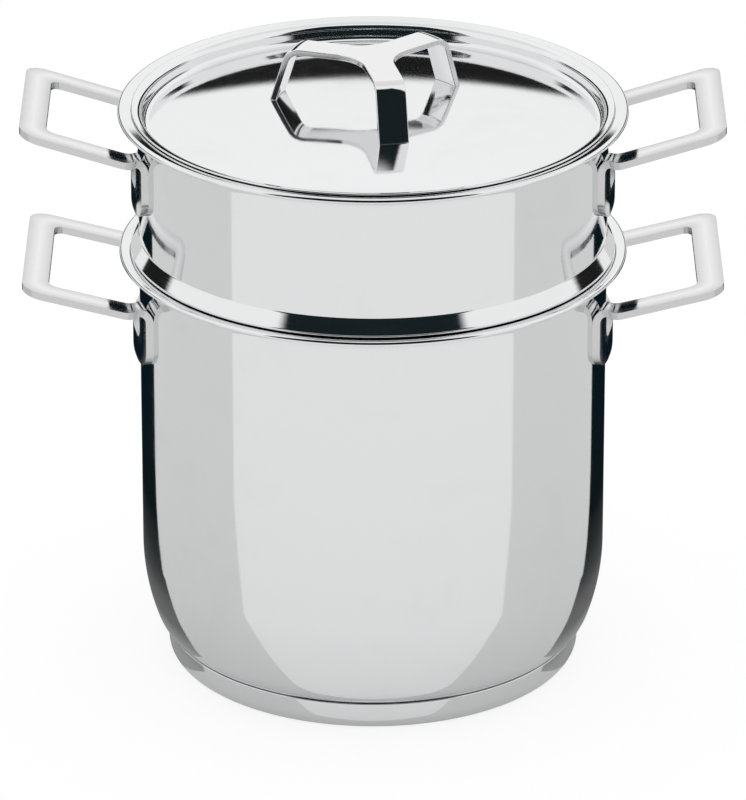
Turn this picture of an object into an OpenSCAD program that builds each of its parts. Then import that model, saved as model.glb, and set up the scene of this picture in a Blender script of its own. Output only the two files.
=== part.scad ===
// Pasta pot with a strainer insert and a sunk lid, all in stainless steel.
// Millimetres, +Z up. The origin is the centre of the base's underside and the handles lie along X.

/* [Pot] */
// Outside diameter of the pot's wall, and of the insert's band above it
pot_d = 202; // [194:1:240]
// Height of the pot's rim above the table
pot_h = 191; // [165:1:235]
// Thickness of the steel sheet that the pot and the insert are drawn from
sheet_t = 1; // [0.8:0.1:1.2]
// Height at which the pot's wall starts to curve in to the base
foot_h = 53; // [46:1:70]
// Radius of the long curve between the wall and the base
foot_curve_r = 95; // [80:1:130]
// Radius of the corner between the pot's floor and its wall, inside
floor_corner_r = 18; // [12:0.5:20]

/* [Base] */
// Thickness of the aluminium disc that spreads the heat
disc_t = 8; // [5:0.1:9]
// Thickness of the magnetic steel cap round the disc
cap_t = 0.8; // [0.6:0.1:1.2]
// Height of the cap's edge above the disc
cap_reach = 4; // [3:0.1:5]
// Slope of the cap's side from upright, in degrees
cap_taper = 1.5; // [0:0.5:6]
// Radius of the cap's bottom edge
cap_edge_r = 6; // [4:0.5:8]
// Gap between the cap's edge and the pot's wall
cap_gap = 0.1; // [0.05:0.05:0.3]

/* [Rims] */
// How far the rims of pot and insert stand out from their walls
rim_w = 8.5; // [7:0.5:11]
// Slope of the rim's top, which rises outwards, in degrees
rim_slope = 11; // [7:1:15]
// Thickness of the rim at its edge
rim_edge_t = 2.2; // [2:0.1:2.6]
// Radius that rounds the top of the rim's edge
rim_edge_r = 1.4; // [0.8:0.1:1.5]
// Radius that rounds the underside of the rim's edge
rim_low_r = 0.3; // [0.2:0.1:0.4]
// Radius where the rim turns down into the mouth
mouth_r = 2; // [1.6:0.1:2.4]
// Radius of the hollow under the rim
under_rim_r = 5; // [4:0.5:5.5]

/* [Strainer insert] */
// Height of the insert's rim above the pot's rim
insert_rise = 64; // [60:1:90]
// Outside diameter of the perforated basket
basket_d = 192; // [186:1:194]
// Height of the basket's floor above the pot's floor
basket_lift = 22; // [14:1:34]
// Radius of the corner between the basket's floor and its wall
basket_corner_r = 18; // [12:1:26]
// Height of the collar that guides the insert in the pot's mouth
collar_h = 8; // [5:1:14]
// Height of the cone between the collar and the basket
collar_cone_h = 5; // [3:1:9]
// How far the seating bead stands out from the insert's wall
bead_w = 3.7; // [3:0.1:4.4]
// Lean of the bead's face from upright, in degrees
bead_lean = 31.5; // [24:0.5:40]
// Radius of the hollow where the bead runs out into the wall
bead_hollow_r = 1.5; // [1:0.1:3]
// Radius of the hollow inside the bead's lower edge
bead_in_r = 0.2; // [0.1:0.1:0.4]
// Gap between a seat and what rests on it
seat_gap = 0.3; // [0.2:0.05:0.4]

/* [Drain holes] */
// Diameter of each drain hole
hole_d = 5; // [3:0.5:6]
// Number of holes round the wall in a row
holes_around = 36; // [24:1:44]
// Number of rows of holes in the wall
hole_rows = 9; // [4:1:9]
// Height between two rows
row_pitch = 12; // [9:0.5:12]
// Height of the lowest row above the basket's floor corner
first_row_h = 8; // [5:1:12]
// Number of rings of holes in the floor, round one hole in the middle
floor_rings = 4; // [2:1:4]
// Distance between two rings
ring_pitch = 17; // [13:0.5:18]

/* [Side handles] */
// Width of the pot's handles
pot_handle_w = 90; // [78:1:100]
// Width of the insert's handles
insert_handle_w = 82; // [72:1:96]
// How far each handle reaches out from the wall
handle_reach = 49; // [44:0.5:60]
// Thickness of the handles' steel strap
handle_t = 3.1; // [2.5:0.1:4]
// Width of the bars round a handle's window
handle_bar = 11; // [9.5:0.5:13]
// Slope of the pot handles' grip, which rises outwards, in degrees
pot_grip_slope = 14; // [4:1:18]
// Slope of the insert handles' grip, in degrees
insert_grip_slope = 17; // [4:1:20]
// Depth of the pot handles' grip below the rim, where it leaves the bend
pot_grip_drop = 15.5; // [12:0.5:17]
// Depth of the insert handles' grip below the rim, where it leaves the bend
insert_grip_drop = 12; // [11:0.5:15]
// Height of a handle's foot, from its lower edge to where the grip leaves the bend
handle_foot_h = 29.5; // [25:0.5:32]
// Radius of the hollow side of the bend
handle_bend_r = 4; // [3:0.5:5]
// How much narrower a handle's foot is than its grip, on each side
foot_inset = 8; // [4:0.5:10]
// How far out from the wall the strap starts to narrow towards its foot
neck_reach = 6; // [5:0.5:8]
// Length over which the strap narrows
neck_l = 11; // [9:0.5:13]
// Radius of the corners of the grip and of the foot
handle_corner_r = 9; // [6:0.5:12]
// Radius of the window's corners
window_corner_r = 4.5; // [3:0.5:6]

/* [Lid] */
// Thickness of the lid's sheet
lid_t = 0.8; // [0.6:0.1:1]
// How far the lid's hem reaches out over the insert's rim from the mouth
hem_w = 3.6; // [3.2:0.1:4.5]
// Depth of the lid's edge below the mouth
well_depth = 6.5; // [6:0.1:10]
// Radius of the valley between the lid's dome and its upright edge
well_r = 2.5; // [1.5:0.1:3]
// Rise of the lid's dome from its edge to its middle
dome_rise = 8.5; // [5:0.5:14]

/* [Lid handle] */
// Distance from the lid's middle to the outside of each foot
foot_reach = 45; // [40:0.5:60]
// Height of the handle's top above its feet
grip_h = 24.2; // [18:0.1:30]
// Lean of the three legs from upright, in degrees
leg_lean = 17; // [5:1:25]
// Width of the three arms
arm_w = 13; // [9:0.5:16]
// Thickness of the arms
arm_t = 2.6; // [2:0.1:3.5]
// Radius of the outside of each bend
arm_bend_r = 8; // [4:0.5:10]
// Radius of the hollow between two arms, seen from above
crotch_r = 18; // [12:1:22]
// Direction of the front arm, in degrees from +X
front_arm_dir = -78.3; // [-90:0.1:-60]

/* [Hidden] */
$fn = 180;
ARC_STEPS = 8;

// Walls and rims, the same for the pot and the insert
wall_r = pot_d / 2;
mouth_in_r = wall_r - sheet_t;
rim_r = wall_r + rim_w;
mouth_bend_x = mouth_in_r + mouth_r;
insert_h = pot_h + insert_rise;

// Height of a rim's sloping top and of its underside at radius r, for a rim of height h
function rim_top(h, r) = h - (rim_r - r) * tan(rim_slope);
function rim_under(h, r) = rim_top(h, r) - rim_edge_t;

// Height of the centre of the bend into the mouth
function mouth_bend_z(h) = rim_top(h, mouth_bend_x) - mouth_r / cos(rim_slope);

// Points along an arc about [x, z], from angle a to angle b
function arc(x, z, r, a, b, steps = ARC_STEPS) =
    [for (i = [0:steps]) let (t = a + (b - a) * i / steps) [x + r * cos(t), z + r * sin(t)]];

// A rim's section from the wall outside, round its edge and down into the mouth
function rim_section(h) =
    let (
        slope = rim_slope,
        hollow_x = wall_r + under_rim_r,
        hollow_z = rim_under(h, hollow_x) - under_rim_r / cos(slope),
        low_x = rim_r - rim_low_r,
        low_z = rim_under(h, low_x) + rim_low_r / cos(slope),
        edge_x = rim_r - rim_edge_r,
        high_z = rim_top(h, edge_x) - rim_edge_r / cos(slope)
    )
    concat(
        arc(hollow_x, hollow_z, under_rim_r, 180, 90 + slope),
        arc(low_x, low_z, rim_low_r, slope - 90, 0, 4),
        arc(edge_x, high_z, rim_edge_r, 0, 90 + slope),
        arc(mouth_bend_x, mouth_bend_z(h), mouth_r, 90 + slope, 180)
    );

// Pot floor and base, from the table up
disc_top = cap_t + disc_t;
floor_top = disc_top + sheet_t;
seam_h = disc_top + cap_reach;
foot_x = wall_r - foot_curve_r;
corner_z = floor_top + floor_corner_r;
corner_x = foot_x + sqrt(pow(foot_curve_r - sheet_t - floor_corner_r, 2) - pow(corner_z - foot_h, 2));
corner_angle = atan2(corner_z - foot_h, corner_x - foot_x);
body_corner_r = floor_corner_r + sheet_t;
seam_body_r = corner_x + sqrt(pow(body_corner_r, 2) - pow(corner_z - seam_h, 2));
cap_top_r = seam_body_r + cap_gap + cap_t / cos(cap_taper);
cap_edge_x = cap_top_r - (seam_h - cap_edge_r) * tan(cap_taper) - cap_edge_r / cos(cap_taper);

// Insert, from its seat on the pot's rim
seat_r = mouth_r + seat_gap;
bend_z = mouth_bend_z(pot_h);
collar_r = mouth_bend_x - seat_r;
collar_low = bend_z - collar_h;
cone_low = collar_low - collar_cone_h;
basket_r = basket_d / 2;
basket_floor = floor_top + basket_lift;
basket_corner_z = basket_floor + basket_corner_r;
bead_edge_r = sheet_t + bead_in_r;
bead_edge_x = wall_r + bead_w - bead_edge_r;
bead_edge_z = rim_top(pot_h, bead_edge_x) + (seat_gap + bead_edge_r) / cos(rim_slope);
hollow_x = wall_r + bead_hollow_r;
bead_run = (bead_edge_x - hollow_x) * cos(bead_lean) + bead_edge_r + bead_hollow_r;
hollow_z = bead_edge_z + bead_run / sin(bead_lean);
first_row_z = basket_corner_z + first_row_h;
rows = min(hole_rows, 1 + floor((cone_low - hole_d - first_row_z) / row_pitch));

// Lid, from its seat on the insert's rim
lid_bend_z = mouth_bend_z(insert_h);
lid_wall_r = collar_r - lid_t;
valley_x = lid_wall_r - well_r;
valley_z = insert_h - (rim_r - mouth_bend_x) * tan(rim_slope) - well_depth;
dome_r = (pow(valley_x, 2) + pow(dome_rise, 2)) / (2 * dome_rise);
dome_z = valley_z + dome_rise - dome_r;
well_z = dome_z + sqrt(pow(dome_r + well_r, 2) - pow(valley_x, 2));
dome_edge_angle = asin(valley_x / (dome_r + well_r));
hem_r = mouth_in_r + hem_w;
hem_edge_x = hem_r - lid_t / 2;
hem_edge_z = rim_top(insert_h, hem_edge_x) + (seat_gap + lid_t / 2) / cos(rim_slope);

// Height of the lid's top at radius r
function lid_top(r) = dome_z + sqrt(pow(dome_r, 2) - pow(r, 2));

// Lid handle, from its feet on the dome
foot_in = foot_reach - arm_t / cos(leg_lean);
foot_z = lid_top(foot_reach);
grip_z = foot_z + grip_h;
arm_bend_z = grip_z - arm_bend_r;
arm_bend_x = foot_reach - (arm_bend_r + (arm_bend_z - foot_z) * sin(leg_lean)) / cos(leg_lean);
crotch_x = (crotch_r + arm_w / 2) / sin(60);
crotch_end = crotch_x * cos(60);
DOME_RINGS = 6;
dome_edge_r = dome_r * sin(dome_edge_angle);

// Radii at which the dome's section has a point: from the middle, under the feet and out to the edge
dome_radii = concat(
    [for (i = [0:DOME_RINGS - 1]) foot_in * i / DOME_RINGS],
    [foot_in],
    [for (i = [0:DOME_RINGS]) foot_reach + (dome_edge_r - foot_reach) * i / DOME_RINGS]
);

// Points of the long curve and the floor's corner, on a sheet whose face lies t inside the outer one
function foot_section(t) =
    concat(
        arc(corner_x, corner_z, body_corner_r - t, -90, corner_angle),
        arc(foot_x, foot_h, foot_curve_r - t, corner_angle, 0, 2 * ARC_STEPS)
    );

// The same points from the mouth down
function reversed(points) = [for (i = [len(points) - 1:-1:0]) points[i]];

module turned(points) {
    rotate_extrude() polygon(points);
}

// Deep-drawn pot: flat floor, wall and flared rim from one sheet
module pot_body() {
    color("gainsboro")
        turned(concat(
            [[0, disc_top]],
            foot_section(0),
            rim_section(pot_h),
            reversed(foot_section(sheet_t)),
            [[0, floor_top]]
        ));
}

// Aluminium disc, hidden between the pot's floor and the cap
module base_disc() {
    color("darkgray")
        translate([0, 0, cap_t])
            cylinder(r = corner_x, h = disc_t);
}

// Magnetic steel cap that closes the disc in
module base_cap() {
    top_in = cap_top_r - cap_t / cos(cap_taper);
    color("silver")
        turned(concat(
            [[0, 0]],
            arc(cap_edge_x, cap_edge_r, cap_edge_r, -90, -cap_taper),
            [[cap_top_r, seam_h], [top_in, seam_h]],
            arc(cap_edge_x, cap_edge_r, cap_edge_r - cap_t, -cap_taper, -90),
            [[0, cap_t]]
        ));
}

// Section of a side handle's strap: the foot on the wall, the bend and the rising grip that leaves it at grip_h
module strap_section(grip_h, slope) {
    outer_bend_r = handle_bend_r + handle_t;
    bend_x = wall_r + outer_bend_r;
    strap_bend_z = grip_h - outer_bend_r / cos(slope);
    far_x = bend_x + 2 * handle_reach;
    far_top = grip_h + (far_x - bend_x) * tan(slope);
    far_low = far_top - handle_t / cos(slope);
    foot_low = grip_h - handle_foot_h - handle_t;
    polygon(concat(
        [[wall_r + handle_t, foot_low]],
        arc(bend_x, strap_bend_z, handle_bend_r, 180, 90 + slope),
        [[far_x, far_low], [far_x, far_top]],
        arc(bend_x, strap_bend_z, outer_bend_r, 90 + slope, 180),
        [[wall_r, foot_low]]
    ));
}

// Rectangle from x = 0 to x = length, with its two far corners rounded
module rounded_end(length, width, r) {
    translate([0, -width / 2])
        square([length - r, width]);
    for (side = [-1, 1])
        translate([length - r, side * (width / 2 - r)])
            circle(r);
    translate([length - 2 * r, r - width / 2])
        square([2 * r, width - 2 * r]);
}

// Plan of a strap or of its window: a rounded end, and sides that close in to the foot in an S of two arcs
module strap_plan(length, width, r) {
    turn = 2 * atan(foot_inset / neck_l);
    neck_r = neck_l / (2 * sin(turn));
    neck_end = wall_r + neck_reach;
    side = concat(
        [[0, width / 2 - foot_inset]],
        arc(neck_end - neck_l, width / 2 - foot_inset + neck_r, neck_r, -90, turn - 90),
        arc(neck_end, width / 2 - neck_r, neck_r, 90 + turn, 90),
        [[length, width / 2]]
    );
    intersection() {
        rounded_end(length, width, r);
        polygon(concat(side, [for (p = reversed(side)) [p[0], -p[1]]]));
    }
}

// Prism of a strap's or a window's outline: its plan from above, and the round lower corners of its foot
module strap_prism(low, length, width, r) {
    tall = handle_foot_h + 2 * handle_reach;
    intersection() {
        translate([0, 0, low])
            linear_extrude(tall)
                strap_plan(length, width, r);
        translate([0, 0, low + tall])
            rotate([0, 90, 0])
                linear_extrude(length) {
                    rounded_end(tall, width - 2 * foot_inset, r);
                    translate([0, -width / 2])
                        square([tall - r, width]);
                }
    }
}

// One side handle on +X: a strap bent to the wall, with one window through grip, bend and foot
module side_handle(grip_h, slope, width) {
    foot_low = grip_h - handle_foot_h;
    grip_end = wall_r + handle_reach;
    color("lightgray")
        difference() {
            intersection() {
                rotate_extrude() strap_section(grip_h, slope);
                strap_prism(foot_low, grip_end, width, handle_corner_r);
            }
            strap_prism(foot_low + handle_bar, grip_end - handle_bar, width - 2 * handle_bar, window_corner_r);
        }
}

module pot_handle_right() {
    side_handle(pot_h - pot_grip_drop, pot_grip_slope, pot_handle_w);
}

module pot_handle_left() {
    mirror([1, 0, 0]) pot_handle_right();
}

module insert_handle_right() {
    side_handle(insert_h - insert_grip_drop, insert_grip_slope, insert_handle_w);
}

module insert_handle_left() {
    mirror([1, 0, 0]) insert_handle_right();
}

// Outside of the insert from the basket's floor to the foot of its rim
function insert_outside() =
    concat(
        [[0, basket_floor]],
        arc(basket_r - basket_corner_r, basket_corner_z, basket_corner_r, -90, 0),
        [[basket_r, cone_low], [collar_r, collar_low]],
        arc(mouth_bend_x, bend_z, seat_r, 180, 90 + rim_slope),
        arc(bead_edge_x, bead_edge_z, bead_edge_r, rim_slope - 90, bead_lean),
        arc(hollow_x, hollow_z, bead_hollow_r, 180 + bead_lean, 180)
    );

// Inside of the insert from its mouth down to the basket's floor, one sheet thickness in
function insert_inside() =
    concat(
        arc(hollow_x, hollow_z, bead_hollow_r + sheet_t, 180, 180 + bead_lean),
        arc(bead_edge_x, bead_edge_z, bead_in_r, bead_lean, rim_slope - 90),
        arc(mouth_bend_x, bend_z, seat_r + sheet_t, 90 + rim_slope, 180),
        [[collar_r - sheet_t, collar_low], [basket_r - sheet_t, cone_low]],
        arc(basket_r - basket_corner_r, basket_corner_z, basket_corner_r - sheet_t, 0, -90),
        [[0, basket_floor + sheet_t]]
    );

// Rows of round holes through the basket's wall, every second row turned by half a step
module wall_holes() {
    for (row = [0:rows - 1])
        for (i = [0:holes_around - 1])
            rotate([0, 0, (i + (row % 2) / 2) * 360 / holes_around])
                translate([basket_r - 2 * sheet_t, 0, first_row_z + row * row_pitch])
                    rotate([0, 90, 0])
                        cylinder(d = hole_d, h = 3 * sheet_t, $fn = 24);
}

// One hole in the middle of the basket's floor and rings of six, twelve and more round it
module floor_holes() {
    for (ring = [0:floor_rings])
        for (i = [0:max(1, 6 * ring) - 1])
            rotate([0, 0, i * 60 / max(1, ring)])
                translate([ring * ring_pitch, 0, basket_floor - sheet_t])
                    cylinder(d = hole_d, h = 3 * sheet_t, $fn = 24);
}

// Insert: rim, plain band and seating bead above the pot, perforated basket inside it
module insert_body() {
    color("whitesmoke")
        difference() {
            turned(concat(insert_outside(), rim_section(insert_h), insert_inside()));
            wall_holes();
            floor_holes();
        }
}

// Lid: hem over the insert's rim, upright edge down into the mouth, valley and shallow dome
module lid_shell() {
    tip = rim_slope;
    under_edge_x = (dome_r - lid_t) * sin(dome_edge_angle);
    color("white")
        turned(concat(
            [for (r = dome_radii) [r, lid_top(r)]],
            arc(valley_x, well_z, well_r, -90 - dome_edge_angle, 0),
            arc(mouth_bend_x, lid_bend_z, seat_r + lid_t, 180, 90 + tip),
            arc(hem_edge_x, hem_edge_z, lid_t / 2, 90 + tip, tip - 90, 4),
            arc(mouth_bend_x, lid_bend_z, seat_r, 90 + tip, 180),
            arc(valley_x, well_z, well_r + lid_t, 0, -90 - dome_edge_angle),
            [for (i = [DOME_RINGS - 1:-1:0])
                let (r = under_edge_x * i / DOME_RINGS)
                [r, dome_z + sqrt(pow(dome_r - lid_t, 2) - pow(r, 2))]]
        ));
}

// Plan of the lid's handle: three arms that run together in wide hollow curves
module tripod_plan() {
    for (k = [0:2])
        rotate(front_arm_dir + 120 * k)
            translate([0, -arm_w / 2])
                square([foot_reach + arm_t, arm_w]);
    difference() {
        polygon([for (k = [0:2])
            for (side = [-1, 1])
                let (a = front_arm_dir + 120 * k, c = crotch_end, s = side * arm_w / 2)
                [c * cos(a) - s * sin(a), c * sin(a) + s * cos(a)]]);
        for (k = [0:2])
            rotate(front_arm_dir + 60 + 120 * k)
                translate([crotch_x, 0])
                    circle(crotch_r);
    }
}

// Three-legged handle of one bent steel plate, welded to the lid by its feet
module lid_handle() {
    color("lightgray")
        intersection() {
            turned(concat(
                [[0, grip_z - arm_t], [0, grip_z]],
                arc(arm_bend_x, arm_bend_z, arm_bend_r, 90, leg_lean),
                [[foot_reach, foot_z], [foot_in, lid_top(foot_in)]],
                arc(arm_bend_x, arm_bend_z, arm_bend_r - arm_t, leg_lean, 90)
            ));
            translate([0, 0, foot_z - grip_h])
                linear_extrude(3 * grip_h)
                    tripod_plan();
        }
}

pot_body();
base_disc();
base_cap();
pot_handle_left();
pot_handle_right();
insert_body();
insert_handle_left();
insert_handle_right();
lid_shell();
lid_handle();
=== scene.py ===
# Pasta pot with a strainer insert and a sunk lid, all in mirror polished stainless steel.
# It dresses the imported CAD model: every piece has the size and the place that the frame gives.
from math import asin, atan, atan2, cos, degrees, hypot, pi, radians, sin, sqrt, tan

import bmesh
import bpy
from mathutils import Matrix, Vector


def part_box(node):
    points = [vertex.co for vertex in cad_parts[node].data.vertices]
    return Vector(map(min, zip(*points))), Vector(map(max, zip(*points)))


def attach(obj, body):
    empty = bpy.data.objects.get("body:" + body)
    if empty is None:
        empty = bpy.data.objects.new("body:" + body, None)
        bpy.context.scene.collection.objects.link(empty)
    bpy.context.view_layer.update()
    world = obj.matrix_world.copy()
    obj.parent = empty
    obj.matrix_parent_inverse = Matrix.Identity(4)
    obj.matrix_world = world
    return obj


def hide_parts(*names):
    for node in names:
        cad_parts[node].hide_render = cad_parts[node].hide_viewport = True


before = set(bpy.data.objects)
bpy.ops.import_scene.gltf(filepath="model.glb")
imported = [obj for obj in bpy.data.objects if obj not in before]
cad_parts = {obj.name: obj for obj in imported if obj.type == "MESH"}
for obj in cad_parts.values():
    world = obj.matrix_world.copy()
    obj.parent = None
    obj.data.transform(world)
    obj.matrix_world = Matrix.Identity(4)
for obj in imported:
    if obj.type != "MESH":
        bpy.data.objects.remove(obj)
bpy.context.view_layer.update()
MM = 0.001


# ---- Pot body ----
# The real one is deep-drawn from one sheet of stainless steel, with a flared rim that slopes down to the mouth.
# It's polished to a mirror on a turning spindle, so what marks it has run round its axis.
rim_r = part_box("pot_body")[1].x
pot_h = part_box("pot_body")[1].z
disc_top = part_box("pot_body")[0].z
sheet_t = 1 * MM
rim_w = 8.5 * MM
rim_slope = radians(11)
rim_edge_t = 2.2 * MM
rim_edge_r = 1.4 * MM
rim_low_r = 0.3 * MM
mouth_r = 2 * MM
under_rim_r = 5 * MM
foot_h = 53 * MM
foot_curve_r = 95 * MM
body_corner_r = 19 * MM
wall_r = rim_r - rim_w
mouth_bend_x = wall_r - sheet_t + mouth_r
foot_x = wall_r - foot_curve_r
corner_z = disc_top + body_corner_r
corner_x = foot_x + sqrt((foot_curve_r - body_corner_r) ** 2 - (corner_z - foot_h) ** 2)
corner_angle = degrees(atan2(corner_z - foot_h, corner_x - foot_x))
TURN_STEPS = 288
MERGE_DISTANCE = 0.01 * MM


def bend(x, z, r, start, end, steps=10):
    """Points of an arc about (x, z), from one angle to another in degrees."""
    angles = [radians(start + (end - start) * i / steps) for i in range(steps + 1)]
    return [(x + r * cos(a), z + r * sin(a)) for a in angles]


def rim_top(height, r):
    """Height of a rim's sloping top at radius r."""
    return height - (rim_r - r) * tan(rim_slope)


def mouth_bend_z(height):
    """Height of the centre of the bend between a rim's top and the mouth."""
    return rim_top(height, mouth_bend_x) - mouth_r / cos(rim_slope)


def rim_section(height):
    """A rim's section from the wall outside, round its edge and down into the mouth."""
    tilt = degrees(rim_slope)
    hollow_x = wall_r + under_rim_r
    hollow_z = rim_top(height, hollow_x) - rim_edge_t - under_rim_r / cos(rim_slope)
    low_x = rim_r - rim_low_r
    low_z = rim_top(height, low_x) - rim_edge_t + rim_low_r / cos(rim_slope)
    edge_x = rim_r - rim_edge_r
    high_z = rim_top(height, edge_x) - rim_edge_r / cos(rim_slope)
    return (
        bend(hollow_x, hollow_z, under_rim_r, 180, 90 + tilt)
        + bend(low_x, low_z, rim_low_r, tilt - 90, 0, 4)
        + bend(edge_x, high_z, rim_edge_r, 0, 90 + tilt, 8)
        + bend(mouth_bend_x, mouth_bend_z(height), mouth_r, 90 + tilt, 180)
    )


def foot_section(depth):
    """The corner at the floor and the long curve up to the wall, on the face that lies depth inside the outer one."""
    return (
        bend(corner_x, corner_z, body_corner_r - depth, -90, corner_angle, 14)
        + bend(foot_x, foot_h, foot_curve_r - depth, corner_angle, 0, 20)
    )


def lathe(bm, section, steps=TURN_STEPS):
    """Add the surface that a section of (radius, height) points makes when it's turned about the pot's axis."""
    rings = []
    for r, z in section:
        count = steps if r > 0 else 1
        turn = [2 * pi * i / count for i in range(count)]
        rings.append([bm.verts.new((r * cos(a), r * sin(a), z)) for a in turn])
    for low, high in zip(rings, rings[1:]):
        for i in range(steps):
            j = i + 1
            corners = (low[i % len(low)], low[j % len(low)], high[j % len(high)], high[i % len(high)])
            bm.faces.new(list(dict.fromkeys(corners)))


def piece(name, bm, body, nodes, material):
    """Close a bmesh up as a named piece, even out its normals, and let it ride in place of its CAD nodes.

    Faces that were marked with the material index 1 are cut faces, and their points get the attribute "cut", which
    the steel uses for extra roughness and a painted shade.
    """
    bmesh.ops.remove_doubles(bm, verts=bm.verts, dist=MERGE_DISTANCE)
    bmesh.ops.recalc_face_normals(bm, faces=bm.faces)
    worn = bm.verts.layers.float.new("edge")
    cut = bm.verts.layers.float.new("cut")
    for vert in bm.verts:
        sharpest = max((edge.calc_face_angle(0) for edge in vert.link_edges), default=0)
        vert[worn] = min(1, max(0, (sharpest - radians(14)) / radians(20)))
        vert[cut] = any(face.material_index for face in vert.link_faces)
    for face in bm.faces:
        face.material_index = 0
    mesh = bpy.data.meshes.new(name)
    bm.to_mesh(mesh)
    bm.free()
    mesh.materials.append(material)
    mesh.polygons.foreach_set("use_smooth", [True] * len(mesh.polygons))
    mesh.set_sharp_from_angle(angle=radians(40))
    thing = bpy.data.objects.new(name, mesh)
    bpy.context.scene.collection.objects.link(thing)
    thing.modifiers.new("Even normals", "WEIGHTED_NORMAL").keep_sharp = True
    settle(thing)
    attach(thing, body)
    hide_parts(*nodes)
    return thing


def settle(thing):
    """Make the result of an object's modifiers its own plain mesh."""
    shown = thing.evaluated_get(bpy.context.evaluated_depsgraph_get())
    mesh = bpy.data.meshes.new_from_object(shown)
    mesh.name = thing.name
    thing.modifiers.clear()
    thing.data = mesh


def put(tree, kind, wires, **settings):
    """Add a node, make its settings, and wire up or set its inputs."""
    node = tree.nodes.new(kind)
    for key, value in settings.items():
        setattr(node, key, value)
    for key, value in wires.items():
        if isinstance(value, bpy.types.NodeSocket):
            tree.links.new(value, node.inputs[key])
        else:
            node.inputs[key].default_value = value
    return node


def effect(name, inputs, output):
    """Start a shader node group, with its inputs as {name: (kind, value)} and one output number."""
    tree = bpy.data.node_groups.new(name, "ShaderNodeTree")
    for label, (kind, value) in inputs.items():
        tree.interface.new_socket(label, in_out="INPUT", socket_type=kind).default_value = value
    tree.interface.new_socket(output, in_out="OUTPUT", socket_type="NodeSocketFloat")
    return tree, tree.nodes.new("NodeGroupInput"), tree.nodes.new("NodeGroupOutput")


def turning_lines():
    """Fine marks that run round the axis, as a polishing wheel leaves them on a turning pot."""
    tree, given, result = effect(
        "Turning lines",
        {"Position": ("NodeSocketVector", (0, 0, 0)), "Lines per metre": ("NodeSocketFloat", 2500)},
        "Mark",
    )
    place = put(tree, "ShaderNodeSeparateXYZ", {0: given.outputs["Position"]})
    flat = put(tree, "ShaderNodeCombineXYZ", {"X": place.outputs["X"], "Y": place.outputs["Y"]})
    radius = put(tree, "ShaderNodeVectorMath", {0: flat.outputs[0]}, operation="LENGTH")
    heading = put(tree, "ShaderNodeVectorMath", {0: flat.outputs[0]}, operation="NORMALIZE")
    along = put(tree, "ShaderNodeMath", {0: place.outputs["Z"], 1: radius.outputs["Value"]}, operation="ADD")
    line = put(tree, "ShaderNodeMath", {
        0: along.outputs[0], 1: given.outputs["Lines per metre"],
    }, operation="MULTIPLY")
    lift = put(tree, "ShaderNodeCombineXYZ", {"Z": line.outputs[0]})
    spot = put(tree, "ShaderNodeVectorMath", {0: heading.outputs[0], 1: lift.outputs[0]}, operation="ADD")
    noise = put(tree, "ShaderNodeTexNoise", {"Vector": spot.outputs[0], "Scale": 1, "Detail": 3, "Roughness": 0.6})
    tree.links.new(noise.outputs["Fac"], result.inputs["Mark"])
    return tree


def handling_marks():
    """Faint smears that hands and a cloth leave, in patches."""
    tree, given, result = effect(
        "Handling marks",
        {"Position": ("NodeSocketVector", (0, 0, 0)), "Patches per metre": ("NodeSocketFloat", 22)},
        "Mark",
    )
    patch = put(tree, "ShaderNodeTexNoise", {
        "Vector": given.outputs["Position"], "Scale": given.outputs["Patches per metre"],
        "Detail": 4, "Roughness": 0.62, "Distortion": 0.6,
    })
    faint = put(tree, "ShaderNodeMapRange", {
        "Value": patch.outputs["Fac"], "From Min": 0.5, "From Max": 0.8, "To Min": 0, "To Max": 1,
    }, interpolation_type="SMOOTHSTEP")
    tree.links.new(faint.outputs["Result"], result.inputs["Mark"])
    return tree


def rubbed_edges():
    """Wear on the tight bends and edges, broken up as it is on a used pot."""
    tree, given, result = effect(
        "Rubbed edges",
        {"Position": ("NodeSocketVector", (0, 0, 0)), "Edge": ("NodeSocketFloat", 0)},
        "Wear",
    )
    broken = put(tree, "ShaderNodeTexNoise", {"Vector": given.outputs["Position"], "Scale": 160, "Detail": 3})
    part = put(tree, "ShaderNodeMath", {0: broken.outputs["Fac"], 1: given.outputs["Edge"]}, operation="MULTIPLY")
    tree.links.new(part.outputs[0], result.inputs["Wear"])
    return tree


turning = turning_lines()
handling = handling_marks()
rubbed = rubbed_edges()


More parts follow.
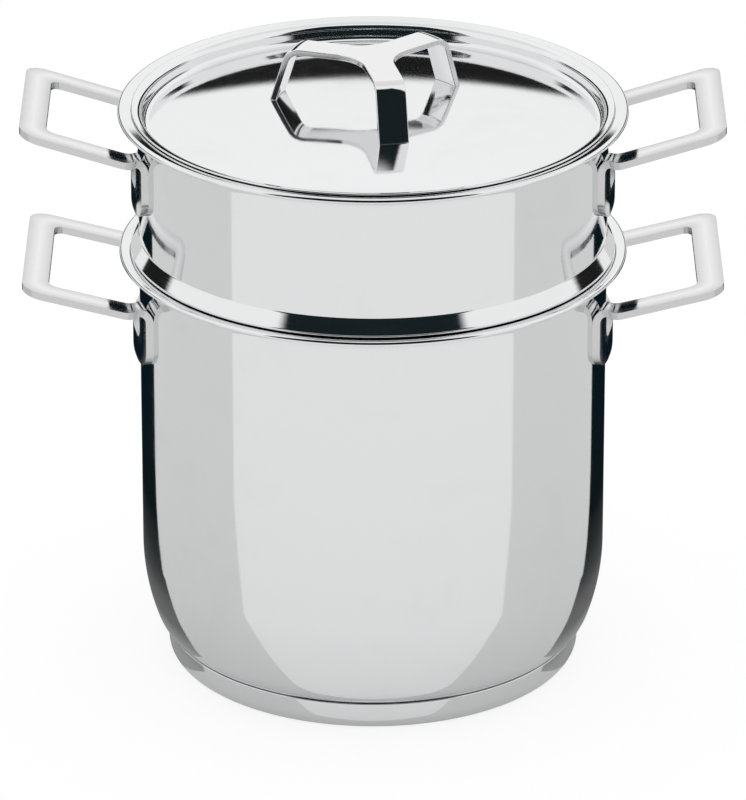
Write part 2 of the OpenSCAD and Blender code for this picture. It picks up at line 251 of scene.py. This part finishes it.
def steel(name, colour, marks, lines_per_metre, roughness, line_depth):
    """Polished steel: fine marks from a group, with faint smears, rubbed edges, and cut faces that are rougher and
    get a painted shade that darkens their colour.
    """
    material = bpy.data.materials.new(name)
    material.use_nodes = True
    tree = material.node_tree
    shader = tree.nodes["Principled BSDF"]
    shader.inputs["Metallic"].default_value = 1
    place = put(tree, "ShaderNodeTexCoord", {}).outputs["Object"]
    edge = put(tree, "ShaderNodeAttribute", {}, attribute_name="edge").outputs["Fac"]
    fine = put(tree, "ShaderNodeGroup", {}, node_tree=marks)
    smear = put(tree, "ShaderNodeGroup", {}, node_tree=handling)
    wear = put(tree, "ShaderNodeGroup", {}, node_tree=rubbed)
    for group in (fine, smear, wear):
        tree.links.new(place, group.inputs["Position"])
    tree.links.new(edge, wear.inputs["Edge"])
    fine.inputs["Lines per metre"].default_value = lines_per_metre
    lined = put(tree, "ShaderNodeMapRange", {
        "Value": fine.outputs[0], "From Min": 0.3, "From Max": 0.7,
        "To Min": roughness * 0.75, "To Max": roughness * 1.25,
    })
    rough_and_shaded_cuts = put(tree, "ShaderNodeAttribute", {}, attribute_name="cut").outputs["Fac"]
    rough = lined.outputs[0]
    for mask, share in ((smear.outputs[0], 0.05), (wear.outputs[0], 0.12), (rough_and_shaded_cuts, 0.08)):
        rough = put(tree, "ShaderNodeMath", {0: mask, 1: share, 2: rough}, operation="MULTIPLY_ADD").outputs[0]
    tree.links.new(rough, shader.inputs["Roughness"])
    shade = colour
    # Smears darken the colour a little as real marks. The cut sides get a painted shade, darkened to 0.78 of the
    # colour.
    for mask, share in ((smear.outputs[0], 0.97), (rough_and_shaded_cuts, 0.78)):
        darker_smear_and_shade = [c * share for c in colour[:3]] + [1]
        shade = put(tree, "ShaderNodeMix", {0: mask, "A": shade, "B": darker_smear_and_shade}, data_type="RGBA").outputs["Result"]
    tree.links.new(shade, shader.inputs["Base Color"])
    relief = put(tree, "ShaderNodeBump", {"Height": fine.outputs[0], "Strength": line_depth, "Distance": 0.02 * MM})
    tree.links.new(relief.outputs[0], shader.inputs["Normal"])
    return material


mirror_steel = steel("Mirror polished steel", (0.85, 0.855, 0.86, 1), turning, 2500, 0.05, 0.25)

bm = bmesh.new()
lathe(bm, (
    [(0, disc_top)]
    + foot_section(0)
    + rim_section(pot_h)
    + foot_section(sheet_t)[::-1]
    + [(0, disc_top + sheet_t)]
))
piece("pot_body_shell", bm, "pot", ["pot_body"], mirror_steel)


# ---- Heat-spreading disc ----
# The real one is a plate of cast aluminium between the pot's floor and the cap, which hides it.
# It stays the CAD's own solid, and gets the matt, turned look of aluminium.
cast_aluminium = steel("Turned aluminium", (0.72, 0.72, 0.73, 1), turning, 900, 0.42, 0.6)
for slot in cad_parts["base_disc"].material_slots:
    slot.material = cast_aluminium


# ---- Base cap ----
# The real one is pressed from magnetic steel and closes the disc in, with a thin open seam below the pot's wall.
# It's polished round the side, and its rounded edge is the lowest line of the pot.
seam_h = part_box("base_cap")[1].z
cap_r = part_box("base_cap")[1].x
cap_t = 0.8 * MM
cap_taper = 1.5
cap_edge_r = 6 * MM
cap_lean = tan(radians(cap_taper))
cap_edge_x = cap_r - (seam_h - cap_edge_r) * cap_lean - cap_edge_r / cos(radians(cap_taper))
cap_lip_r = 0.25 * MM

bm = bmesh.new()
lathe(bm, (
    [(0, 0)]
    + bend(cap_edge_x, cap_edge_r, cap_edge_r, -90, -cap_taper, 14)
    + bend(cap_r - cap_lip_r, seam_h - cap_lip_r, cap_lip_r, 0, 90, 4)
    + bend(cap_r - cap_t + cap_lip_r, seam_h - cap_lip_r, cap_lip_r, 90, 180, 4)
    + bend(cap_edge_x, cap_edge_r, cap_edge_r - cap_t, -cap_taper, -90, 14)
    + [(0, cap_t)]
))
piece("base_cap_shell", bm, "pot", ["base_cap"], mirror_steel)


# ---- Strainer insert ----
# The real one is drawn from one sheet: rim, plain band and seating bead above the pot, collar and basket inside it.
# The basket's drain holes are punched in staggered rows round the wall and in rings in the floor.
insert_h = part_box("insert_body")[1].z
basket_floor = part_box("insert_body")[0].z
basket_r = 96 * MM
basket_corner_r = 18 * MM
collar_h = 8 * MM
collar_cone_h = 5 * MM
bead_w = 3.7 * MM
bead_lean = radians(31.5)
bead_hollow_r = 1.5 * MM
bead_in_r = 0.2 * MM
bead_edge_r = bead_in_r + sheet_t
seat_gap = 0.3 * MM
seat_r = mouth_r + seat_gap
seat_bend_z = mouth_bend_z(pot_h)
collar_r = mouth_bend_x - seat_r
collar_low = seat_bend_z - collar_h
basket_corner_z = basket_floor + basket_corner_r
bead_edge_x = wall_r + bead_w - bead_edge_r
bead_edge_z = rim_top(pot_h, bead_edge_x) + (seat_gap + bead_edge_r) / cos(rim_slope)
bead_hollow_x = wall_r + bead_hollow_r
bead_run = (bead_edge_x - bead_hollow_x) * cos(bead_lean) + bead_edge_r + bead_hollow_r
bead_hollow_z = bead_edge_z + bead_run / sin(bead_lean)

hole_r = 2.5 * MM
holes_around = 36
hole_rows = 9
row_pitch = 12 * MM
first_row_z = basket_corner_z + 8 * MM
ring_pitch = 17 * MM
floor_rings = 4
CELL_SIDE_STEPS = 4


def cell(outline, centre, surface):
    """One perforated cell: both faces of the sheet between an outline and a round hole, and the hole's wall."""
    spokes = [atan2(v - centre[1], u - centre[0]) for u, v in outline]
    hole = [(centre[0] + hole_r * cos(a), centre[1] + hole_r * sin(a)) for a in spokes]
    bm = bmesh.new()
    loops = [
        [bm.verts.new(surface(u, v, depth)) for u, v in line]
        for line, depth in ((outline, 0), (hole, 0), (hole, sheet_t), (outline, sheet_t))
    ]
    for a, b in zip(loops, loops[1:]):
        for i in range(len(a)):
            bm.faces.new((a[i - 1], a[i], b[i], b[i - 1]))
    return bm


def between(start, end, steps):
    """Points from start up to, but without, end."""
    return [tuple(s + (e - s) * i / steps for s, e in zip(start, end)) for i in range(steps)]


def wall_cell():
    """A cell of the basket's wall, flat as arc length and height, and laid round the axis."""
    half_w = basket_r * pi / holes_around
    half_h = row_pitch / 2
    steps = TURN_STEPS // holes_around
    outline = (
        between((-half_w, -half_h), (half_w, -half_h), steps)
        + between((half_w, -half_h), (half_w, half_h), CELL_SIDE_STEPS)
        + between((half_w, half_h), (-half_w, half_h), steps)
        + between((-half_w, half_h), (-half_w, -half_h), CELL_SIDE_STEPS)
    )

    def surface(u, v, depth):
        r, a = basket_r - depth, u / basket_r
        return r * cos(a), r * sin(a), first_row_z + v

    return cell(outline, (0, 0), surface)


def floor_cell(ring, inner_steps, outer_steps):
    """A cell of the basket's floor in one ring of holes, cut out between two radii and two directions."""
    half = pi / (6 * ring) if ring else pi
    low, high = (ring - 0.5) * ring_pitch, (ring + 0.5) * ring_pitch
    polar = (
        between((low, -half), (low, half), inner_steps)
        + between((low, half), (high, half), CELL_SIDE_STEPS)
        + between((high, half), (high, -half), outer_steps)
        + between((high, -half), (low, -half), CELL_SIDE_STEPS)
    ) if ring else between((high, -half), (high, half), outer_steps)
    outline = [(r * cos(a), r * sin(a)) for r, a in polar]
    return cell(outline, (ring * ring_pitch, 0), lambda u, v, depth: (u, v, basket_floor + depth))


def rows_of_cells():
    """Geometry nodes that repeat a cell round the axis and upwards, every second row turned by half a step."""
    tree = bpy.data.node_groups.new("Rows of cells", "GeometryNodeTree")
    for label, kind in (("Cell", "Geometry"), ("Around", "Int"), ("Rows", "Int"), ("Row pitch", "Float"),
                        ("Material", "Material")):
        tree.interface.new_socket(label, in_out="INPUT", socket_type="NodeSocket" + kind)
    tree.interface.new_socket("Sheet", in_out="OUTPUT", socket_type="NodeSocketGeometry")
    given = tree.nodes.new("NodeGroupInput").outputs
    result = tree.nodes.new("NodeGroupOutput")

    def math(operation, a, b=0.0):
        return put(tree, "ShaderNodeMath", {0: a, 1: b}, operation=operation).outputs[0]

    index = put(tree, "GeometryNodeInputIndex", {}).outputs[0]
    row = math("FLOOR", math("DIVIDE", index, given["Around"]))
    column = math("SUBTRACT", index, math("MULTIPLY", row, given["Around"]))
    stagger = math("MULTIPLY", math("MODULO", row, 2), 0.5)
    turn = math("DIVIDE", math("MULTIPLY", math("ADD", column, stagger), 2 * pi), given["Around"])
    height = math("MULTIPLY", row, given["Row pitch"])
    points = put(tree, "GeometryNodePoints", {"Count": math("MULTIPLY", given["Around"], given["Rows"])})
    lift = put(tree, "ShaderNodeCombineXYZ", {"Z": height})
    placed = put(tree, "GeometryNodeSetPosition", {"Geometry": points.outputs[0], "Position": lift.outputs[0]})
    heading = put(tree, "ShaderNodeCombineXYZ", {"Z": turn})
    facing = put(tree, "FunctionNodeEulerToRotation", {0: heading.outputs[0]})
    copies = put(tree, "GeometryNodeInstanceOnPoints", {
        "Points": placed.outputs[0], "Instance": given["Cell"], "Rotation": facing.outputs[0],
    })
    real = put(tree, "GeometryNodeRealizeInstances", {"Geometry": copies.outputs[0]})
    dressed = put(tree, "GeometryNodeSetMaterial", {"Geometry": real.outputs[0], "Material": given["Material"]})
    tree.links.new(dressed.outputs[0], result.inputs["Sheet"])
    return tree


repeat = rows_of_cells()


def perforated(bm, tile, around, rows):
    """Add the sheet that a cell makes when the geometry nodes repeat it."""
    mesh = bpy.data.meshes.new("cell")
    tile.to_mesh(mesh)
    tile.free()
    thing = bpy.data.objects.new("cell", mesh)
    bpy.context.scene.collection.objects.link(thing)
    modifier = thing.modifiers.new("Rows of cells", "NODES")
    modifier.node_group = repeat
    values = {"Around": around, "Rows": rows, "Row pitch": row_pitch, "Material": mirror_steel}
    for item in repeat.interface.items_tree:
        if item.name in values:
            modifier[item.identifier] = values[item.name]
    settle(thing)
    bm.from_mesh(thing.data)
    bpy.data.objects.remove(thing)


rows_low = first_row_z - row_pitch / 2
rows_high = rows_low + hole_rows * row_pitch
floor_ring_r = (floor_rings + 0.5) * ring_pitch
tilt = degrees(rim_slope)
lean = degrees(bead_lean)
low_corner_x = basket_r - basket_corner_r

bm = bmesh.new()
perforated(bm, wall_cell(), holes_around, hole_rows)
for ring, inner_steps, outer_steps in ((0, 0, 24), (1, 4, 12), (2, 6, 6), (3, 4, 8), (4, 6, 12)):
    perforated(bm, floor_cell(ring, inner_steps, outer_steps), max(1, 6 * ring), 1)
for depth in (0, sheet_t):
    lathe(bm, (
        [(floor_ring_r, basket_floor + depth)]
        + bend(low_corner_x, basket_corner_z, basket_corner_r - depth, -90, 0)
        + [(basket_r - depth, rows_low)]
    ))
lathe(bm, (
    [(basket_r, rows_high), (basket_r, collar_low - collar_cone_h), (collar_r, collar_low)]
    + bend(mouth_bend_x, seat_bend_z, seat_r, 180, 90 + tilt)
    + bend(bead_edge_x, bead_edge_z, bead_edge_r, tilt - 90, lean)
    + bend(bead_hollow_x, bead_hollow_z, bead_hollow_r, 180 + lean, 180, 6)
    + rim_section(insert_h)
    + bend(bead_hollow_x, bead_hollow_z, bead_hollow_r + sheet_t, 180, 180 + lean, 6)
    + bend(bead_edge_x, bead_edge_z, bead_in_r, lean, tilt - 90)
    + bend(mouth_bend_x, seat_bend_z, seat_r + sheet_t, 90 + tilt, 180)
    + [(collar_r - sheet_t, collar_low), (basket_r - sheet_t, collar_low - collar_cone_h)]
    + [(basket_r - sheet_t, rows_high)]
))
piece("strainer_basket", bm, "strainer_insert", ["insert_body"], mirror_steel)


# ---- Side handles ----
# Each real one is a strap of steel with one window punched through it, bent to a foot that's welded to the wall.
# The grip rises outwards. The straps are polished along their length, and their cut edges are broken slightly.
strap_t = 3.1 * MM
strap_bar = 11 * MM
strap_foot_h = 29.5 * MM
strap_bend_r = 4 * MM
strap_corner_r = 9 * MM
window_corner_r = 4.5 * MM
strap_edge_r = 0.4 * MM
foot_inset = 8 * MM
neck_l = 11 * MM
neck_end = wall_r + 6 * MM
neck_r = neck_l / (2 * sin(2 * atan(foot_inset / neck_l)))
grip_lift = 1.6 * MM
SETTLING_ROUNDS = 4


def strap_grain():
    """Fine marks along X, as a belt leaves them on a strap."""
    tree, given, result = effect(
        "Strap grain",
        {"Position": ("NodeSocketVector", (0, 0, 0)), "Lines per metre": ("NodeSocketFloat", 3000)},
        "Mark",
    )
    thin = put(tree, "ShaderNodeCombineXYZ", {"X": 40, "Y": given.outputs["Lines per metre"], "Z": 40})
    spot = put(tree, "ShaderNodeVectorMath", {0: given.outputs["Position"], 1: thin.outputs[0]}, operation="MULTIPLY")
    noise = put(tree, "ShaderNodeTexNoise", {"Vector": spot.outputs[0], "Scale": 1, "Detail": 3, "Roughness": 0.6})
    tree.links.new(noise.outputs["Fac"], result.inputs["Mark"])
    return tree


grain = strap_grain()
strap_steel = steel("Polished strap steel", (0.86, 0.86, 0.865, 1), grain, 3000, 0.05, 0.2)


SHARP_ANGLE = radians(50)


def blunt(bm, width):
    """Round every sharp edge off to the width given."""
    sharp = [edge for edge in bm.edges if edge.calc_face_angle(0) > SHARP_ANGLE]
    bmesh.ops.bevel(bm, geom=sharp, offset=width, segments=3, profile=0.5, affect="EDGES", clamp_overlap=True,
                    material=0)


def narrowing(x):
    """How much narrower the strap is on each side at x, in an S of two arcs between its foot and its grip."""
    t = min(neck_l, max(0, neck_end - x))
    if t < neck_l / 2:
        return neck_r - sqrt(neck_r ** 2 - t ** 2)
    return foot_inset - neck_r + sqrt(neck_r ** 2 - (neck_l - t) ** 2)


def side_handle(node, body, slope):
    """A window handle in the place of its CAD node, from its foot on the wall to the end of its grip."""
    low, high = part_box(node)
    side = 1 if high.x > 0 else -1
    end = max(abs(low.x), abs(high.x))
    half = high.y
    outer_r = strap_bend_r + strap_t
    middle_r = strap_bend_r + strap_t / 2
    bend_x = wall_r + outer_r
    bend_z = low.z + strap_foot_h - outer_r / cos(slope)
    bend_end = bend_x - middle_r * sin(slope)
    bend_start = bend_end - middle_r * (pi / 2 - slope)
    foot_v = bend_start - (bend_z - low.z)
    window_low = foot_v + strap_bar
    window_high = end - strap_bar
    window_half = half - strap_bar
    straight_from = window_high - 2 * window_corner_r
    corner = window_corner_r
    inner_y = window_half - corner

    def surface(v, across, w):
        """The point v along the strap, so far across it, and w from its middle towards its wall side."""
        y = across
        for settling in range(SETTLING_ROUNDS):
            if v <= bend_start:
                r, z = wall_r + strap_t / 2 - w, bend_z - (bend_start - v)
                x = sqrt(r * r - y * y)
            elif v <= bend_end:
                a = pi - (v - bend_start) / middle_r
                r, z = bend_x + (middle_r + w) * cos(a), bend_z + (middle_r + w) * sin(a)
                x = sqrt(r * r - y * y)
            else:
                start_r = bend_end - w * sin(slope)
                curved = 1 - min(1, (v - bend_end) / (straight_from - bend_end))
                x = v + curved * (sqrt(start_r ** 2 - y * y) - bend_end)
                r = hypot(x, y)
                z = bend_z + (middle_r + w) * cos(slope) + (r - start_r) * tan(slope)
            y = across - narrowing(x) * min(1, max(-1, across / inner_y))
        # The grip is flat, so its height follows x alone, while the foot keeps to the round wall
        flat = min(1, (v - foot_v) / (bend_start - foot_v))
        z += flat * (grip_lift - (r - x) * tan(slope))
        return side * x, y, z

    stations = (
        [window_low + corner]
        + [bend_start + (bend_end - bend_start) * i / 10 for i in range(11)]
        + [bend_end + neck_l * i / 8 for i in range(1, 9)]
        + [bend_end + neck_l + (window_high - corner - bend_end - neck_l) * i / 4 for i in range(1, 5)]
    )
    across = [inner_y - 2 * inner_y * i / 12 for i in range(13)]
    far_window = bend(window_high - corner, inner_y, corner, 90, 0, 12)
    far_corner = (
        [(window_high - corner, half)]
        + bend(end - strap_corner_r, half - strap_corner_r, strap_corner_r, 90, 0, 10)
        + [(end, inner_y)]
    )
    near_window = bend(window_low + corner, inner_y, corner, 180, 90, 12)
    near_corner = (
        [(foot_v, inner_y)]
        + bend(foot_v + strap_corner_r, half - strap_corner_r, strap_corner_r, 180, 90, 10)
        + [(window_low + corner, half)]
    )
    half_pairs = (
        list(zip(near_corner, near_window))
        + [((v, half), (v, window_half)) for v in stations[1:-1]]
        + list(zip(far_corner, far_window))
    )
    other_pairs = [((a[0], -a[1]), (b[0], -b[1])) for a, b in half_pairs[::-1]]
    pairs = (
        half_pairs
        + [((end, y), (window_high, y)) for y in across[1:-1]]
        + other_pairs
        + [((foot_v, y), (window_low, y)) for y in across[-2:0:-1]]
    )

    bm = bmesh.new()
    loops = []
    for w, shares in ((strap_t / 2, (0, 0.5, 1)), (-strap_t / 2, (1, 0.5, 0))):
        for share in shares:
            loops.append([
                bm.verts.new(surface(a[0] + (b[0] - a[0]) * share, a[1] + (b[1] - a[1]) * share, w))
                for a, b in pairs
            ])
    for step, (a, b) in enumerate(zip(loops, loops[1:] + loops[:1])):
        for i in range(len(a)):
            face = bm.faces.new((a[i - 1], a[i], b[i], b[i - 1]))
            # The strap's cut sides are marked for extra roughness and the steel's painted shade.
            face.material_index = step in (2, 5)
    blunt(bm, strap_edge_r)
    piece(node + "_strap", bm, body, [node], strap_steel)


for node in ("pot_handle_left", "pot_handle_right"):
    side_handle(node, "pot", radians(14))
for node in ("insert_handle_left", "insert_handle_right"):
    side_handle(node, "strainer_insert", radians(17))


# ---- Lid ----
# The real one is pressed from thin sheet: a hem over the insert's rim, an upright edge down into the mouth,
# a round valley and a shallow dome. It's polished like a mirror on a spindle, as the pot is.
lid_t = 0.8 * MM
hem_w = 3.6 * MM
well_depth = 6.5 * MM
well_r = 2.5 * MM
dome_rise = 8.5 * MM
foot_reach = 45 * MM
lid_bend_z = mouth_bend_z(insert_h)
valley_x = collar_r - lid_t - well_r
valley_z = rim_top(insert_h, mouth_bend_x) - well_depth
dome_r = (valley_x ** 2 + dome_rise ** 2) / (2 * dome_rise)
dome_z = valley_z + dome_rise - dome_r
well_z = dome_z + sqrt((dome_r + well_r) ** 2 - valley_x ** 2)
dome_edge = degrees(asin(valley_x / (dome_r + well_r)))
hem_edge_x = wall_r - sheet_t + hem_w - lid_t / 2
hem_edge_z = rim_top(insert_h, hem_edge_x) + (seat_gap + lid_t / 2) / cos(rim_slope)

bm = bmesh.new()
lathe(bm, (
    [(0, dome_z + dome_r)]
    + bend(0, dome_z, dome_r, 90, 90 - dome_edge, 24)[1:]
    + bend(valley_x, well_z, well_r, -90 - dome_edge, 0, 14)
    + bend(mouth_bend_x, lid_bend_z, seat_r + lid_t, 180, 90 + tilt)
    + bend(hem_edge_x, hem_edge_z, lid_t / 2, 90 + tilt, tilt - 90, 8)
    + bend(mouth_bend_x, lid_bend_z, seat_r, 90 + tilt, 180)
    + bend(valley_x, well_z, well_r + lid_t, 0, -90 - dome_edge, 14)
    + bend(0, dome_z, dome_r - lid_t, 90 - dome_edge, 90, 24)[:-1]
    + [(0, dome_z + dome_r - lid_t)]
))
piece("lid_sheet", bm, "lid", ["lid_shell"], mirror_steel)


# ---- Lid handle ----
# The real one is cut from one plate as three arms that run together in hollow curves, and bent down at its legs.
# Its legs lean outwards and are welded to the dome.
arm_half = 6.5 * MM
arm_t = 2.6 * MM
arm_bend_r = 8 * MM
crotch_r = 18 * MM
leg_lean = radians(17)
front_arm = radians(-78.3)
arm_edge_r = 0.35 * MM
grip_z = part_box("lid_handle")[1].z
arm_bend_z = grip_z - arm_bend_r
foot_z = dome_z + sqrt(dome_r ** 2 - foot_reach ** 2)
foot_in = foot_reach - arm_t / cos(leg_lean)
foot_in_z = dome_z + sqrt(dome_r ** 2 - foot_in ** 2)
arm_bend_x = foot_reach - (arm_bend_r + (arm_bend_z - foot_z) * sin(leg_lean)) / cos(leg_lean)
crotch_x = (crotch_r + arm_half) / tan(radians(60))
crotch_y = crotch_r + arm_half
crotch_start = (hypot(crotch_x, crotch_y) - crotch_r) / 2


def arm_width(c):
    """Half the width of an arm at the distance c from the middle."""
    return crotch_y - sqrt(crotch_r ** 2 - (c - crotch_x) ** 2) if c < crotch_x else arm_half


# Stations along an arm: the radius and height of its top and of its underside
ARM_STATIONS = (20 * MM, 28 * MM)
flat = [crotch_start + (crotch_x - crotch_start) * i / 8 for i in range(9)] + [*ARM_STATIONS, arm_bend_x]
arm_top = [(r, grip_z) for r in flat[:-1]] + bend(arm_bend_x, arm_bend_z, arm_bend_r, 90, degrees(leg_lean))
arm_under = [(r, grip_z - arm_t) for r in flat[:-1]] + bend(
    arm_bend_x, arm_bend_z, arm_bend_r - arm_t, 90, degrees(leg_lean))
arm_top.append((foot_reach, foot_z))
arm_under.append((foot_in, foot_in_z))
ARM_ACROSS = 3

bm = bmesh.new()
middle = {}
for side_name, line in (("top", arm_top), ("under", arm_under)):
    middle[side_name] = bm.verts.new((0, 0, line[0][1]))
for arm in range(3):
    heading = front_arm + arm * 2 * pi / 3
    grids = {}
    for side_name, line in (("top", arm_top), ("under", arm_under)):
        rows = []
        for station, (r, z) in enumerate(line):
            width = arm_width(min(r, crotch_x) if station < len(flat) - 1 else r)
            row = []
            for step in range(-ARM_ACROSS, ARM_ACROSS + 1):
                y = width * step / ARM_ACROSS
                x = r if station < len(flat) - 1 else sqrt(r * r - y * y)
                row.append(bm.verts.new((
                    x * cos(heading) - y * sin(heading), x * sin(heading) + y * cos(heading), z)))
            rows.append(row)
        grids[side_name] = rows
        for a, b in zip(rows[0], rows[0][1:]):
            bm.faces.new((middle[side_name], a, b))
        for near, far in zip(rows, rows[1:]):
            for i in range(2 * ARM_ACROSS):
                bm.faces.new((near[i], near[i + 1], far[i + 1], far[i]))
    top, under = grids["top"], grids["under"]
    for column in (0, -1):
        for i in range(len(top) - 1):
            face = bm.faces.new((top[i][column], top[i + 1][column], under[i + 1][column], under[i][column]))
            # The arm's cut sides are marked for extra roughness and the steel's painted shade.
            face.material_index = 1
    for i in range(2 * ARM_ACROSS):
        bm.faces.new((top[-1][i], top[-1][i + 1], under[-1][i + 1], under[-1][i]))
bmesh.ops.remove_doubles(bm, verts=bm.verts, dist=MERGE_DISTANCE)
bmesh.ops.recalc_face_normals(bm, faces=bm.faces)
blunt(bm, arm_edge_r)
piece("lid_tripod", bm, "lid", ["lid_handle"], strap_steel)


# ---- Studio ----
# A plain pale table under a white sky. The table keeps the pot's soft shadow.
# Cards that only the steel sees draw shapes in it: a white one in front, and dark ones behind at both sides.
TABLE_GREY = 0.8
TABLE_REACH = 6
CARD_REACH = 1.9


def board(name, outline, height, material):
    """A flat piece of the studio, lying at a height."""
    mesh = bpy.data.meshes.new(name)
    mesh.from_pydata([(x, y, height) for x, y in outline], [], [range(len(outline))])
    mesh.materials.append(material)
    thing = bpy.data.objects.new(name, mesh)
    bpy.context.scene.collection.objects.link(thing)
    return thing


def matt(name, grey, glow=0):
    """A matt material with no gloss, which may glow white, and its tree and shader."""
    material = bpy.data.materials.new(name)
    material.use_nodes = True
    shader = material.node_tree.nodes["Principled BSDF"]
    shader.inputs["Base Color"].default_value = (grey, grey, grey, 1)
    shader.inputs["Roughness"].default_value = 1
    shader.inputs["Specular IOR Level"].default_value = 0
    shader.inputs["Emission Color"].default_value = (1, 1, 1, 1)
    shader.inputs["Emission Strength"].default_value = glow
    return material, material.node_tree, shader


def colours_by(tree, value, stops):
    """The colour that a value has between the stops of a ramp, given as (value, colour)."""
    ramp = put(tree, "ShaderNodeValToRGB", {0: value})
    marks = ramp.color_ramp.elements
    while len(marks) < len(stops):
        marks.new(0.5)
    for mark, (position, colour) in zip(marks, stops):
        mark.position = position
    for mark, (position, colour) in zip(marks, stops):
        mark.color = (*colour, 1)
    return ramp.outputs[0]


def mix(tree, share, a, b):
    """Colour a where share is 0, and colour b where it's 1."""
    return put(tree, "ShaderNodeMix", {0: share, "A": a, "B": b}, data_type="RGBA").outputs["Result"]


# The camera sees the table white with a faint shadow, and the polished steel sees it a little darker
pale, tree, shader = matt("Pale table", TABLE_GREY)
ray = put(tree, "ShaderNodeLightPath", {}).outputs
colour, glows = (TABLE_GREY, TABLE_GREY, TABLE_GREY, 1), 0
for kind, grey, glow in (("Is Camera Ray", 0.2, 0.82), ("Is Glossy Ray", 0.5, 0.2)):
    colour = mix(tree, ray[kind], colour, (grey, grey, grey, 1))
    glows = put(tree, "ShaderNodeMath", {0: ray[kind], 1: glow, 2: glows}, operation="MULTIPLY_ADD").outputs[0]
tree.links.new(colour, shader.inputs["Base Color"])
tree.links.new(glows, shader.inputs["Emission Strength"])
board("table", [(x * TABLE_REACH, y * TABLE_REACH) for x, y in ((-1, -1), (1, -1), (1, 1), (-1, 1))], 0, pale)

# The dark cards get darker away from the pot: distance from its axis, and colour
CARD_FADE = (
    (0.095, (0.5, 0.5, 0.5)), (0.112, (0.2, 0.2, 0.2)), (0.13, (0.16, 0.16, 0.16)), (0.155, (0.08, 0.085, 0.085)),
    (0.185, (0.03, 0.035, 0.037)), (0.22, (0.006, 0.01, 0.012)), (0.33, (0.003, 0.009, 0.013)),
)
dark, tree, shader = matt("Dark card", 0)
place = put(tree, "ShaderNodeNewGeometry", {}).outputs["Position"]
away = put(tree, "ShaderNodeVectorMath", {0: place}, operation="LENGTH").outputs["Value"]
tree.links.new(colours_by(tree, away, CARD_FADE), shader.inputs["Base Color"])
light, tree, shader = matt("Light card", 0.5, 0.36)

# Outlines of the cards on one side: the edges near the pot are what its wall shows as upright edges
DARK_OUTLINE = (
    (0.088, -0.047), (0.103, -0.036), (0.121, -0.021), (0.1425, -0.005), (0.168, 0.017), (0.192, 0.0615),
    (0.2158, 0.0997), (0.243, 0.136), (0.317, 0.221), (0.75, 0.72), (0.06, 0.9), (0.06, 0.07),
)
LIGHT_EDGE = (
    (0.03, -0.0915), (0.0965, -0.1115), (0.188, -0.1327), (0.275, -0.1475), (0.41, -0.188),
    (CARD_REACH, -0.64), (CARD_REACH, -3),
)
cards = [board("dark_card", [(side * x, y) for x, y in DARK_OUTLINE], 2 * MM, dark) for side in (-1, 1)]
cards.append(board("light_card", [*LIGHT_EDGE, *[(-x, y) for x, y in LIGHT_EDGE[::-1]]], 3 * MM, light))
for card in cards:
    card.visible_camera = False
    card.visible_diffuse = False
    card.visible_shadow = False

world = bpy.data.worlds.new("White studio")
bpy.context.scene.world = world
world.use_nodes = True
tree = world.node_tree
way = put(tree, "ShaderNodeTexCoord", {}).outputs["Generated"]
parts = put(tree, "ShaderNodeSeparateXYZ", {0: way}).outputs
front = put(tree, "ShaderNodeMath", {0: parts["Y"], 1: -1}, operation="MULTIPLY").outputs[0]
turn = put(tree, "ShaderNodeMath", {0: parts["X"], 1: front}, operation="ARCTAN2").outputs[0]
aside = put(tree, "ShaderNodeMath", {0: turn}, operation="ABSOLUTE").outputs[0]


def rising(value, low, high):
    """A smooth step in the world's tree, from 0 at the low value to 1 at the high one."""
    return put(tree, "ShaderNodeMapRange", {
        "Value": value, "From Min": low, "From Max": high, "To Min": 0, "To Max": 1,
    }, interpolation_type="SMOOTHSTEP").outputs[0]


# What the polished steel sees behind the pot: sine of the elevation, and brightness
HEIGHTS = (
    (0.0, 0.93), (0.06, 0.93), (0.07, 0.012), (0.235, 0.012), (0.26, 0.97), (0.62, 1.0), (0.75, 0.85), (1.0, 0.8),
)
ramp = colours_by(tree, parts["Z"], [(height, (grey, grey, grey)) for height, grey in HEIGHTS])
behind = mix(tree, rising(aside, radians(100), radians(112)), (0.95, 0.95, 0.95, 1), ramp)
# Behind the camera it's dark, up to a height and out to both sides
beside = rising(aside, radians(44), radians(50))
above = rising(parts["Z"], 0.92, 0.95)
lit = put(tree, "ShaderNodeMath", {0: beside, 1: above}, operation="MAXIMUM").outputs[0]
seen = mix(tree, lit, (0.008, 0.014, 0.017, 1), behind)
glossy = put(tree, "ShaderNodeLightPath", {}).outputs["Is Glossy Ray"]
tree.links.new(mix(tree, glossy, (1, 1, 1, 1), seen), tree.nodes["Background"].inputs["Color"])


# ---- Camera ----
# Fitted to the ellipses of the rims and of the base, level across and looking down along +Y.
view_distance = 2.729
view_height = 1.3095
view_down = radians(23.616)
PHOTO_HEIGHT = 800
FOCAL_PIXELS = 6827.5

lens = bpy.data.cameras.new("camera")
lens.sensor_width = 36
lens.lens = FOCAL_PIXELS / PHOTO_HEIGHT * lens.sensor_width
lens.clip_end = 50
camera = bpy.data.objects.new("camera", lens)
bpy.context.scene.collection.objects.link(camera)
camera.location = (0, -view_distance, view_height)
camera.rotation_euler = (pi / 2 - view_down, 0, 0)
bpy.context.scene.camera = camera
bpy.context.scene.view_settings.view_transform = "Standard"
